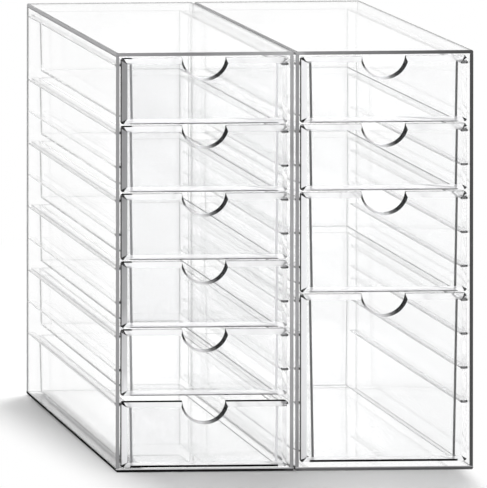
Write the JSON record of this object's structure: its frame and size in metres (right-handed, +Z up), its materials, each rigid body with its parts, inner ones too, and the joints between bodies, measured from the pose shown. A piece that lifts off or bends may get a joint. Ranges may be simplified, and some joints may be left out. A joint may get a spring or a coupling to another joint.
{
  "type": "craft drawer tower",
  "caption": "Clear free-standing drawer towers for stamps and craft supplies, with sliding flanged trays, bevelled fronts and half-round finger notches.",
  "frame": {"origin": "centre of the footprint, on the surface that the towers stand on", "axes": "+X to the right seen from the front, +Y to the back, +Z up; the drawers pull out along -Y"},
  "size_m": [0.3056, 0.24, 0.3588],
  "materials": {
    "case_sheet": "clear, polished",
    "drawer_front": "clear, polished",
    "drawer_tray": "clear, moulded gloss"
  },
  "bodies": {
    "root": {"left_case_top": "case_sheet", "left_case_base": "case_sheet", "left_case_back": "case_sheet", "left_case_left_wall": "case_sheet", "left_case_left_ledges": "case_sheet", "left_case_right_wall": "case_sheet", "left_case_right_ledges": "case_sheet", "right_case_top": "case_sheet", "right_case_base": "case_sheet", "right_case_back": "case_sheet", "right_case_left_wall": "case_sheet", "right_case_left_ledges": "case_sheet", "right_case_right_wall": "case_sheet", "right_case_right_ledges": "case_sheet"},
    "left_drawer_1": {"left_drawer_1_front": "drawer_front", "left_drawer_1_tray": "drawer_tray"},
    "left_drawer_2": {"left_drawer_2_front": "drawer_front", "left_drawer_2_tray": "drawer_tray"},
    "left_drawer_3": {"left_drawer_3_front": "drawer_front", "left_drawer_3_tray": "drawer_tray"},
    "left_drawer_4": {"left_drawer_4_front": "drawer_front", "left_drawer_4_tray": "drawer_tray"},
    "left_drawer_5": {"left_drawer_5_front": "drawer_front", "left_drawer_5_tray": "drawer_tray"},
    "left_drawer_6": {"left_drawer_6_front": "drawer_front", "left_drawer_6_tray": "drawer_tray"},
    "right_drawer_1": {"right_drawer_1_front": "drawer_front", "right_drawer_1_tray": "drawer_tray"},
    "right_drawer_2": {"right_drawer_2_front": "drawer_front", "right_drawer_2_tray": "drawer_tray"},
    "right_drawer_3": {"right_drawer_3_front": "drawer_front", "right_drawer_3_tray": "drawer_tray"},
    "right_drawer_4": {"right_drawer_4_front": "drawer_front", "right_drawer_4_tray": "drawer_tray"}
  },
  "joints": [
    {"name": "left_drawer_1_slide", "type": "slide", "parent": "root", "child": "left_drawer_1", "axis": [0, -1, 0], "range_m": [0, 0.18]},
    {"name": "left_drawer_2_slide", "type": "slide", "parent": "root", "child": "left_drawer_2", "axis": [0, -1, 0], "range_m": [0, 0.18]},
    {"name": "left_drawer_3_slide", "type": "slide", "parent": "root", "child": "left_drawer_3", "axis": [0, -1, 0], "range_m": [0, 0.18]},
    {"name": "left_drawer_4_slide", "type": "slide", "parent": "root", "child": "left_drawer_4", "axis": [0, -1, 0], "range_m": [0, 0.18]},
    {"name": "left_drawer_5_slide", "type": "slide", "parent": "root", "child": "left_drawer_5", "axis": [0, -1, 0], "range_m": [0, 0.18]},
    {"name": "left_drawer_6_slide", "type": "slide", "parent": "root", "child": "left_drawer_6", "axis": [0, -1, 0], "range_m": [0, 0.18]},
    {"name": "right_drawer_1_slide", "type": "slide", "parent": "root", "child": "right_drawer_1", "axis": [0, -1, 0], "range_m": [0, 0.18]},
    {"name": "right_drawer_2_slide", "type": "slide", "parent": "root", "child": "right_drawer_2", "axis": [0, -1, 0], "range_m": [0, 0.18]},
    {"name": "right_drawer_3_slide", "type": "slide", "parent": "root", "child": "right_drawer_3", "axis": [0, -1, 0], "range_m": [0, 0.18]},
    {"name": "right_drawer_4_slide", "type": "slide", "parent": "root", "child": "right_drawer_4", "axis": [0, -1, 0], "range_m": [0, 0.18]}
  ]
}
